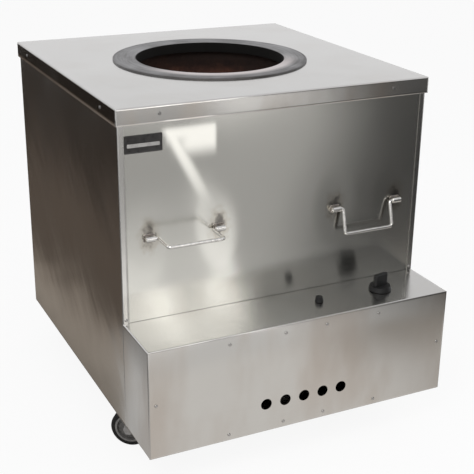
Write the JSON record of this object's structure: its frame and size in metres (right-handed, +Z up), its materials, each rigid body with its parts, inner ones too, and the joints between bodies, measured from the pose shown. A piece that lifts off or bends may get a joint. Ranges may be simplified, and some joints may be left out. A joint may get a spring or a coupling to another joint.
{
  "type": "square gas tandoor",
  "caption": "Square steel gas tandoor on castors: clay pot under a round mouth, drop handles, and a burner box with gas knobs and air holes on its front.",
  "frame": {"origin": "on the floor, under the middle of the whole object's box", "axes": "+X to the right seen from the front, +Y to the back, +Z up; the burner box faces -Y"},
  "size_m": [0.826, 0.979, 0.913],
  "materials": {
    "steel_sheet": "satin",
    "dark_iron": "satin",
    "clay": "matte",
    "refractory": "matte",
    "insulation": "matte",
    "frame_steel": "satin",
    "zinc_steel": "satin",
    "bright_steel": "polished",
    "brass": "satin",
    "black_plastic": "satin",
    "wheel_core": "matte",
    "tyre_rubber": "matte"
  },
  "bodies": {
    "oven": {"left_side_panel": "steel_sheet", "right_side_panel": "steel_sheet", "front_panel": "steel_sheet", "back_panel": "steel_sheet", "top_cover": "steel_sheet", "burner_box_casing": "steel_sheet", "burner_box_front": "steel_sheet", "mouth_ring": "dark_iron", "burner_head": "dark_iron", "burner_stand": "dark_iron", "flame_spreader": "dark_iron", "mixing_tube": "dark_iron", "clay_pot": "clay", "hearth_ring": "refractory", "mouth_collar": "refractory", "insulation_fill": "insulation", "base_frame": "frame_steel", "corner_posts": "frame_steel", "top_frame": "frame_steel", "base_plate": "frame_steel", "manifold_pipe": "frame_steel", "pipe_clips": "frame_steel", "castor_plates": "zinc_steel", "castor_kingpins": "zinc_steel", "castor_bolts": "zinc_steel", "rear_left_fork": "zinc_steel", "rear_right_fork": "zinc_steel", "rear_left_axle": "zinc_steel", "rear_right_axle": "zinc_steel", "left_handle_sleeves": "bright_steel", "right_handle_sleeves": "bright_steel", "box_screws": "bright_steel", "panel_screws": "bright_steel", "cover_rivets": "bright_steel", "gas_jet": "brass", "inlet_socket": "brass", "main_valve_body": "brass", "pilot_valve_body": "brass", "jet_feed_pipe": "brass", "pilot_tube": "brass"},
    "left_bail": {"left_handle_bail": "bright_steel"},
    "right_bail": {"right_handle_bail": "bright_steel"},
    "main_knob": {"main_knob": "black_plastic", "main_valve_spindle": "bright_steel"},
    "pilot_knob": {"pilot_knob": "black_plastic", "pilot_valve_spindle": "bright_steel"},
    "air_shutter": {"air_shutter": "zinc_steel"},
    "front_left_swivel": {"front_left_fork": "zinc_steel", "front_left_axle": "zinc_steel"},
    "front_left_wheel": {"front_left_hub": "wheel_core", "front_left_tyre": "tyre_rubber"},
    "front_right_swivel": {"front_right_fork": "zinc_steel", "front_right_axle": "zinc_steel"},
    "front_right_wheel": {"front_right_hub": "wheel_core", "front_right_tyre": "tyre_rubber"},
    "rear_left_wheel": {"rear_left_hub": "wheel_core", "rear_left_tyre": "tyre_rubber"},
    "rear_right_wheel": {"rear_right_hub": "wheel_core", "rear_right_tyre": "tyre_rubber"}
  },
  "joints": [
    {"name": "left_bail_swing", "type": "hinge", "parent": "oven", "child": "left_bail", "pos_m": [-0.248, -0.3373, 0.597], "axis": [-1, 0, 0], "range_deg": [-90, 90]},
    {"name": "right_bail_swing", "type": "hinge", "parent": "oven", "child": "right_bail", "pos_m": [0.248, -0.3373, 0.597], "axis": [-1, 0, 0], "range_deg": [-15, 165]},
    {"name": "main_knob_turn", "type": "hinge", "parent": "oven", "child": "main_knob", "pos_m": [0.256, -0.4085, 0.391], "axis": [0, 0, 1], "range_deg": [0, 90]},
    {"name": "pilot_knob_turn", "type": "hinge", "parent": "oven", "child": "pilot_knob", "pos_m": [0.078, -0.4085, 0.391], "axis": [0, 0, 1], "range_deg": [0, 90]},
    {"name": "air_shutter_turn", "type": "hinge", "parent": "oven", "child": "air_shutter", "pos_m": [0, -0.4252, 0.186], "axis": [0, 1, 0], "range_deg": [0, 60]},
    {"name": "front_left_swivel_turn", "type": "hinge", "parent": "oven", "child": "front_left_swivel", "pos_m": [-0.332, -0.2555, 0.11], "axis": [0, 0, 1], "continuous": true},
    {"name": "front_left_wheel_roll", "type": "hinge", "parent": "front_left_swivel", "child": "front_left_wheel", "pos_m": [-0.35958, -0.23395, 0.05], "axis": [-0.6157, -0.788, 0], "continuous": true},
    {"name": "front_right_swivel_turn", "type": "hinge", "parent": "oven", "child": "front_right_swivel", "pos_m": [0.332, -0.2555, 0.11], "axis": [0, 0, 1], "continuous": true},
    {"name": "front_right_wheel_roll", "type": "hinge", "parent": "front_right_swivel", "child": "front_right_wheel", "pos_m": [0.32592, -0.22103, 0.05], "axis": [-0.9848, -0.1736, 0], "continuous": true},
    {"name": "rear_left_wheel_roll", "type": "hinge", "parent": "oven", "child": "rear_left_wheel", "pos_m": [-0.332, 0.4085, 0.05], "axis": [-1, 0, 0], "continuous": true},
    {"name": "rear_right_wheel_roll", "type": "hinge", "parent": "oven", "child": "rear_right_wheel", "pos_m": [0.332, 0.4085, 0.05], "axis": [-1, 0, 0], "continuous": true}
  ]
}
